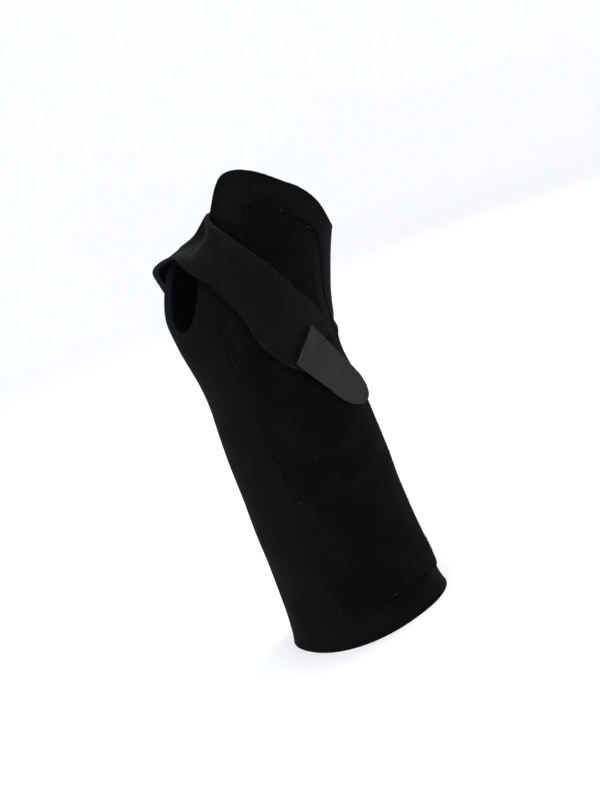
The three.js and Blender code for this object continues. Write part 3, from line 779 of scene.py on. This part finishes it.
# ---- Stitches ------------------------------------------------------------------------------------
def offset_inward(outline, inset):
    """A closed convex outline moved inward, going round counter-clockwise."""
    run = np.roll(outline, -1, axis=0) - np.roll(outline, 1, axis=0)
    run /= np.linalg.norm(run, axis=1, keepdims=True)
    return outline + inset * np.stack([-run[:, 1], run[:, 0]], -1)


def limb_line(across_along, lift):
    """Points and unit normals on the limb, from rows of millimetres across and along."""
    angle, height = across_along[:, 0] / MM_PER_DEGREE, across_along[:, 1]
    lift = lift(angle, height) if callable(lift) else lift
    points, above = place(angle, height, lift), place(angle, height, lift + 1.0)
    return points, (above - points) / MM


def panel_outline():
    angle, height, _, _ = panel_grid(60, 220)
    low, right = (angle[:, 0], height[:, 0]), (angle[-1, 1:], height[-1, 1:])
    top, left = (angle[-2::-1, -1], height[-2::-1, -1]), (angle[0, -2:0:-1], height[0, -2:0:-1])
    joined = [np.concatenate(part) for part in zip(low, right, top, left)]
    return np.stack([joined[0] * MM_PER_DEGREE, joined[1]], -1)


def evenly_spaced(outline, spacing):
    """Evenly spaced points round a closed outline in the plane. spacing in millimetres."""
    closed = np.concatenate([outline, outline[:1]])
    length = np.concatenate([[0], np.cumsum(np.linalg.norm(np.diff(closed, axis=0), axis=1))])
    at = np.arange(0, length[-1], spacing)
    return np.stack([np.interp(at, length, closed[:, i]) for i in range(2)], -1)


def make_panel_stitches():
    line = evenly_spaced(offset_inward(panel_outline(), STITCH_INSET), 1.0)

    def lift(angle, height):
        panel = panel_lift(angle, height, np.full(angle.shape, STITCH_INSET))
        return sleeve_lift(angle, height) + panel + 0.1

    paths = stitch_paths(*limb_line(line, lift), 2.3, 0.75)
    stitches = strands("loop_panel_stitches", paths, 0.21 * MM, DARK_THREAD)
    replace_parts(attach(stitches, "sleeve"), "loop_panel_stitch")


SEAM_PITCH = 1.7
SEAM_HALF_WIDTH = 2.3


def make_seam():
    """Flatlock seam up the little-finger side: crossing threads between two needle rows."""
    heights = np.arange(1.2, 204.5, SEAM_PITCH)
    t = np.linspace(0, 1, 7)
    paths = []
    for lean in (1, -1):
        across = SEAM_HALF_WIDTH * (2 * t - 1) * lean
        angle = SEAM_ANGLE + across[None, :] / MM_PER_DEGREE + 0 * heights[:, None]
        height = heights[:, None] + SEAM_PITCH * (t - 0.5)[None, :] * 0.9
        height = np.clip(height, 0.6, 204.8)
        lift = SLEEVE_OUTER + sleeve_lift(angle, height) + 0.42 * np.sin(math.pi * t)[None, :] ** 0.5 - 0.05
        paths.append(place(angle, height, lift))
    for side in (-1, 1):
        angle = SEAM_ANGLE + side * SEAM_HALF_WIDTH / MM_PER_DEGREE + 0 * heights[:, None] + 0 * t[None, :]
        height = np.clip(heights[:, None] + SEAM_PITCH * (t - 0.5)[None, :] * 0.92, 0.6, 204.8)
        arch = 0.5 * np.sin(math.pi * t)[None, :] ** 0.6 - 0.1
        paths.append(place(angle, height, SLEEVE_OUTER + sleeve_lift(angle, height) + arch))
    seam = strands("flatlock_seam", np.concatenate(paths), 0.24 * MM, DARK_THREAD)
    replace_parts(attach(seam, "sleeve"), "seam_thread")


def spots_between(corners, scale):
    """Spots two to a millimetre along straight runs between corners. scale is millimetres to each unit."""
    corners = np.array(corners, float)
    count = np.ceil(np.hypot(*(np.diff(corners, axis=0) * scale).T)).astype(int) * 2
    runs = [np.linspace(a, b, n, endpoint=False) for a, b, n in zip(corners, corners[1:], count)]
    return np.concatenate(runs)


def strap_line(corners):
    """Points and normals on the strap's outer face, along straight runs between [step, v] corners."""
    spots = spots_between(corners, [STRAP_STEP, STRAP_WIDTH])
    angle, height, lift = on_strap(spots[:, 0], spots[:, 1])
    under, over = place(angle, height, lift), place(angle, height, lift + STRAP_THICKNESS + 0.1)
    normal = (over - under) / np.linalg.norm(over - under, axis=1, keepdims=True)
    return over, normal


def make_anchor_stitches():
    box = [[0.15, 0.08], [1.05, 0.08], [1.05, 0.92], [0.15, 0.92], [0.15, 0.08], [1.05, 0.92]]
    crossing = [[0.15, 0.92], [1.05, 0.08]]
    paths = [stitch_paths(*strap_line(row), 2.4, 0.8) for row in (box, crossing)]
    stitches = strands("strap_anchor_stitches", np.concatenate(paths), 0.24 * MM, DARK_THREAD)
    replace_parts(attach(stitches, "sleeve"), "strap_anchor_stitch")


def make_strap_overlock():
    """Short pale threads over the strap's finger-side edge, from the back of the hand to the tab."""
    steps = np.arange(3.5, 8.7, 0.17)
    t = np.linspace(0, 1, 6)
    step = steps[:, None] + 0.05 * (t - 0.5)[None, :]
    v = 1 - 0.045 * np.cos(math.pi * t / 2)[None, :] + 0 * step
    angle, height, lift = on_strap(step, v)
    over = STRAP_THICKNESS + 0.2 - 1.6 * t[None, :] ** 2.5
    paths = place(angle, height, lift + over)
    outward = place(angle, height + 1, lift + over) - paths
    paths = paths + outward * (0.75 * t[None, :, None] ** 1.5)
    edge = strands("strap_edge_stitches", paths, 0.16 * MM, PALE_THREAD)
    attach(edge, "strap")


def tab_line(corners):
    """Points and normals on the tab's outer face, along straight runs between [u, v] corners."""
    spots = spots_between(corners, [TAB_LENGTH, TAB_WIDTH])
    under, normal = on_tab(spots[:, 0], spots[:, 1])
    return under + normal * (TAB_THICKNESS + 0.1) * MM, normal


def make_tab_stitches():
    box = [[0.03, 0.07], [0.03, 0.93], [0.175, 0.93], [0.175, 0.07], [0.03, 0.07]]
    stitches = strands("tab_root_stitches", stitch_paths(*tab_line(box), 1.9, 0.8), 0.2 * MM, PALE_THREAD)
    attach(stitches, "strap")


# ---- Hook tape -----------------------------------------------------------------------------------
HOOK_START, HOOK_END = 0.36, 0.965
HOOK_PITCH, HOOK_BAND = 1.5, 16


def make_hook_tape():
    """A thin woven backing under the tab with rows of small bent hooks."""
    u = np.linspace(HOOK_START, HOOK_END, 60)[:, None]
    v = np.linspace(0.07, 0.93, 20)[None, :]
    u, v = np.broadcast_arrays(u, v)
    under, normal = on_tab(u, v)
    backing = Sheet(under - normal * 0.62 * MM, under - normal * 0.12 * MM, v * TAB_WIDTH, u * TAB_LENGTH)
    tape = cloth_mesh("hook_backing", [backing], [HOOK, HOOK, HOOK], SOFT_EDGE)
    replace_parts(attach(tape, "tab"), "hook_tape")
    rows = int((HOOK_END - HOOK_START) * TAB_LENGTH / HOOK_PITCH)
    columns = int(HOOK_BAND / HOOK_PITCH)
    spots_u = np.linspace(HOOK_START + 0.02, HOOK_END - 0.015, rows)
    spots_v = np.linspace(0.12, 0.88, columns)
    grid_u, grid_v = (g.reshape(-1) for g in np.meshgrid(spots_u, spots_v, indexing="ij"))
    root, normal = on_tab(grid_u, grid_v)
    ahead = on_tab(grid_u + 0.01, grid_v)[0] - root
    ahead /= np.linalg.norm(ahead, axis=1, keepdims=True)
    bend = np.array([[0.0, -0.05], [0.02, 0.28], [0.1, 0.52], [0.3, 0.6], [0.45, 0.45]])
    paths = (root - normal * 0.6 * MM)[:, None] + (
        ahead[:, None] * bend[None, :, :1] - normal[:, None] * bend[None, :, 1:]) * MM
    hooks = strands("hooks", paths, 0.09 * MM, HOOK, sides=4)
    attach(hooks, "tab")


# ---- Palmar pocket -------------------------------------------------------------------------------
POCKET_LOW, POCKET_HIGH = 16.0, 198.0
POCKET_SIDES = [[16, 158, 204], [150, 158, 204], [198, 162, 196]]
POCKET_ROOM = 2.5
POCKET_FABRIC = 1.2


def pocket_lift(u, v):
    """Room under the pocket for the metal stay: closed at its sides and its hand end."""
    across = ease(np.minimum(u, 1 - u) * 5)
    return POCKET_ROOM * across * ease((1 - v) * 20)


def make_pocket():
    u, v = np.linspace(0, 1, 48)[:, None], np.linspace(0, 1, 170)[None, :]
    height = mix(POCKET_LOW, POCKET_HIGH, v)
    sides = through(POCKET_SIDES, height)
    angle = mix(sides[0], sides[1], u)
    height = height + 0 * u
    base = SLEEVE_OUTER + sleeve_lift(angle, height) + pocket_lift(u, v)
    ripple = 0.14 * np.sin(height / 4.7 + u * 5) * ease(np.minimum(u, 1 - u) * 6)
    hem = 0.5 * hump(height, POCKET_LOW + 4, 3.2)
    sheet = limb_sheet(angle, height, base + 0.25, base + POCKET_FABRIC + ripple + hem)
    pocket = cloth_mesh("stay_pocket", [sheet], [JERSEY, FOAM, LINING], SOFT_EDGE, roughness=0.15)
    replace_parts(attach(pocket, "sleeve"), "palmar_pocket")

    run = np.array([[0.035, 0.0], [0.035, 0.99], [0.965, 0.99], [0.965, 0.0]])
    rows = [np.linspace(a, b, n, endpoint=False) for a, b, n in zip(run, run[1:], (360, 60, 360))]
    rows.append(np.linspace([0.04, 0.035], [0.96, 0.035], 60))
    paths = []
    for spots in (np.concatenate(rows[:3]), rows[3]):
        height = mix(POCKET_LOW, POCKET_HIGH, spots[:, 1])
        sides = through(POCKET_SIDES, height)
        angle = mix(sides[0], sides[1], spots[:, 0])
        lift = SLEEVE_OUTER + sleeve_lift(angle, height) + pocket_lift(spots[:, 0], spots[:, 1])
        lift = lift + POCKET_FABRIC + 0.5 * hump(height, POCKET_LOW + 4, 3.2) + 0.12
        points, above = place(angle, height, lift), place(angle, height, lift + 1)
        paths.append(stitch_paths(points, (above - points) / MM, 2.4, 0.8))
    stitches = strands("pocket_stitches", np.concatenate(paths), 0.21 * MM, DARK_THREAD)
    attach(stitches, "sleeve")


# ---- Pile and lint -------------------------------------------------------------------------------
PILE_LOOPS = 5200
LINT_SPECKS = 14


def make_pile():
    """Small loops standing on the loop panel, and a few pale specks of lint caught in them."""
    chance = np.random.default_rng(7)
    angle, height, side, end = panel_grid(76, 210)
    distance = edge_distance(side, end)
    lift = sleeve_lift(angle, height) + panel_lift(angle, height, distance)
    columns, rows = angle.shape

    def pick(count):
        i = chance.uniform(0, columns - 1.001, count)
        j = chance.uniform(0, rows - 1.001, count)
        a, b, s, t = i.astype(int), j.astype(int), i % 1, j % 1
        return [mix(mix(f[a, b], f[a + 1, b], s), mix(f[a, b + 1], f[a + 1, b + 1], s), t)
                for f in (angle, height, lift)]

    def raised(spots, across, along, up):
        return place(spots[0][:, None] + across / MM_PER_DEGREE, spots[1][:, None] + along,
                     spots[2][:, None] + up)

    t = np.linspace(0, 1, 5)
    spots = pick(PILE_LOOPS)
    lean = chance.uniform(0, 2 * math.pi, PILE_LOOPS)
    reach = chance.uniform(0.25, 0.6, PILE_LOOPS)
    tall = chance.uniform(0.3, 0.75, PILE_LOOPS)
    across = (reach * np.cos(lean))[:, None] * (t - 0.5)
    along = (reach * np.sin(lean))[:, None] * (t - 0.5)
    arch = tall[:, None] * np.sin(math.pi * t) - 0.08
    pile = strands("panel_pile", raised(spots, across, along, arch), 0.055 * MM, PILE, sides=3)
    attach(pile, "sleeve")

    spots = pick(LINT_SPECKS)
    curl = chance.uniform(-1, 1, (LINT_SPECKS, 3))
    t = np.linspace(-0.5, 0.5, 6)
    across = curl[:, :1] * t * 0.9 + curl[:, 1:2] * t**2 * 1.2
    along = curl[:, 1:2] * t * 0.9 + curl[:, 2:] * t**2 * 1.2
    lint = strands("lint", raised(spots, across, along, 0.55), 0.07 * MM, LINT, sides=4)
    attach(lint, "sleeve")


# ---- Stage ---------------------------------------------------------------------------------------
def add_stage():
    turn = np.linspace(0, 2 * math.pi, 97)[:-1]
    profile = [(0.0, 0.0), (0.4, 0.0), (1.2, 0.0), (1.8, 0.0)]
    profile += [(1.8 + 0.8 * math.sin(a), 0.8 - 0.8 * math.cos(a)) for a in np.linspace(0.1, math.pi / 2, 14)]
    profile += [(2.6, 1.8), (2.6, 3.0)]
    points = [(r * math.cos(t), r * math.sin(t), z) for r, z in profile[1:] for t in turn] + [(0, 0, 0)]
    count, faces = len(turn), []
    for k in range(len(profile) - 2):
        for i in range(count):
            j = (i + 1) % count
            faces.append((k * count + i, (k + 1) * count + i, (k + 1) * count + j, k * count + j))
    faces += [(len(points) - 1, i, (i + 1) % count) for i in range(count)]
    mesh = bpy.data.meshes.new("studio_floor")
    mesh.from_pydata(points, [], faces)
    mesh.polygons.foreach_set("use_smooth", np.ones(len(mesh.polygons), bool))
    look = Look("studio_paper", rough=0.9, specular=0.1)
    look.colour(look.blend(look.noise(look.spot(), 3.0), (0.94, 0.94, 0.94, 1), (0.96, 0.96, 0.96, 1)))
    mesh.materials.append(look.material)
    floor = bpy.data.objects.new("studio_floor", mesh)
    bpy.context.scene.collection.objects.link(floor)


def add_light(name, position, aim, size, power, colour=(1, 1, 1)):
    data = bpy.data.lights.new(name, "AREA")
    data.shape, data.size, data.energy, data.color = "DISK", size, power, colour
    light = bpy.data.objects.new(name, data)
    light.location = position
    light.rotation_euler = (Vector(aim) - Vector(position)).to_track_quat("-Z", "Y").to_euler()
    bpy.context.scene.collection.objects.link(light)


def add_lights():
    world = bpy.data.worlds.new("studio")
    world.use_nodes = True
    world.node_tree.nodes["Background"].inputs["Color"].default_value = (0.95, 0.97, 1, 1)
    world.node_tree.nodes["Background"].inputs["Strength"].default_value = 1.05
    bpy.context.scene.world = world
    middle = (0, 0, 0.12)
    add_light("key", (-0.9, -0.9, 1.3), middle, 0.7, 7)
    add_light("left", (-1.3, 0.1, 0.5), middle, 0.9, 7, (0.93, 0.96, 1))
    add_light("right", (1.1, 0.1, 0.6), middle, 0.8, 9)


bpy.context.scene.view_settings.view_transform = "Standard"
add_camera()
add_stage()
add_lights()
make_sleeve()
make_loop_panel()
make_strap()
make_tab()
make_panel_stitches()
make_seam()
make_anchor_stitches()
make_strap_overlock()
make_tab_stitches()
make_hook_tape()
make_pocket()
make_pile()
for node_name, node_look in (("dorsal_stay", STAY_PLASTIC), ("palmar_stay", ALUMINIUM),
                             ("palmar_stay_cap_forearm", DIPPED), ("palmar_stay_cap_hand", DIPPED)):
    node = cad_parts[node_name]
    node.data.materials.clear()
    node.data.materials.append(node_look)
